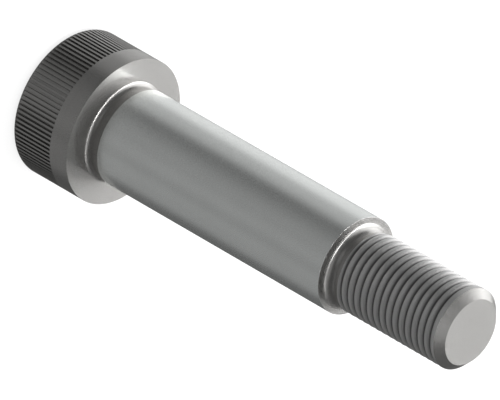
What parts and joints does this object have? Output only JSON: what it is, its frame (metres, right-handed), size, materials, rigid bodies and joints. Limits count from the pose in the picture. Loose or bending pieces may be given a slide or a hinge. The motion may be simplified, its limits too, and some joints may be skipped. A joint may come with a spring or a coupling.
{
  "type": "shoulder bolt",
  "caption": "Knurled socket head bolt with a ground cylindrical shoulder and a shorter, thinner threaded end, for a part that pivots or slides on the shoulder.",
  "frame": {"origin": "centre of the head's top face, on which the bolt stands", "axes": "+Z along the bolt's axis from the head to the threaded tip; +X and +Y lie in the head's top face, with two flats of the hex socket facing +Y and -Y"},
  "size_m": [0.018, 0.018, 0.0644],
  "materials": {
    "steel": "turned and ground steel, satin"
  },
  "bodies": {
    "root": {"shoulder_bolt": "steel"}
  },
  "joints": []
}
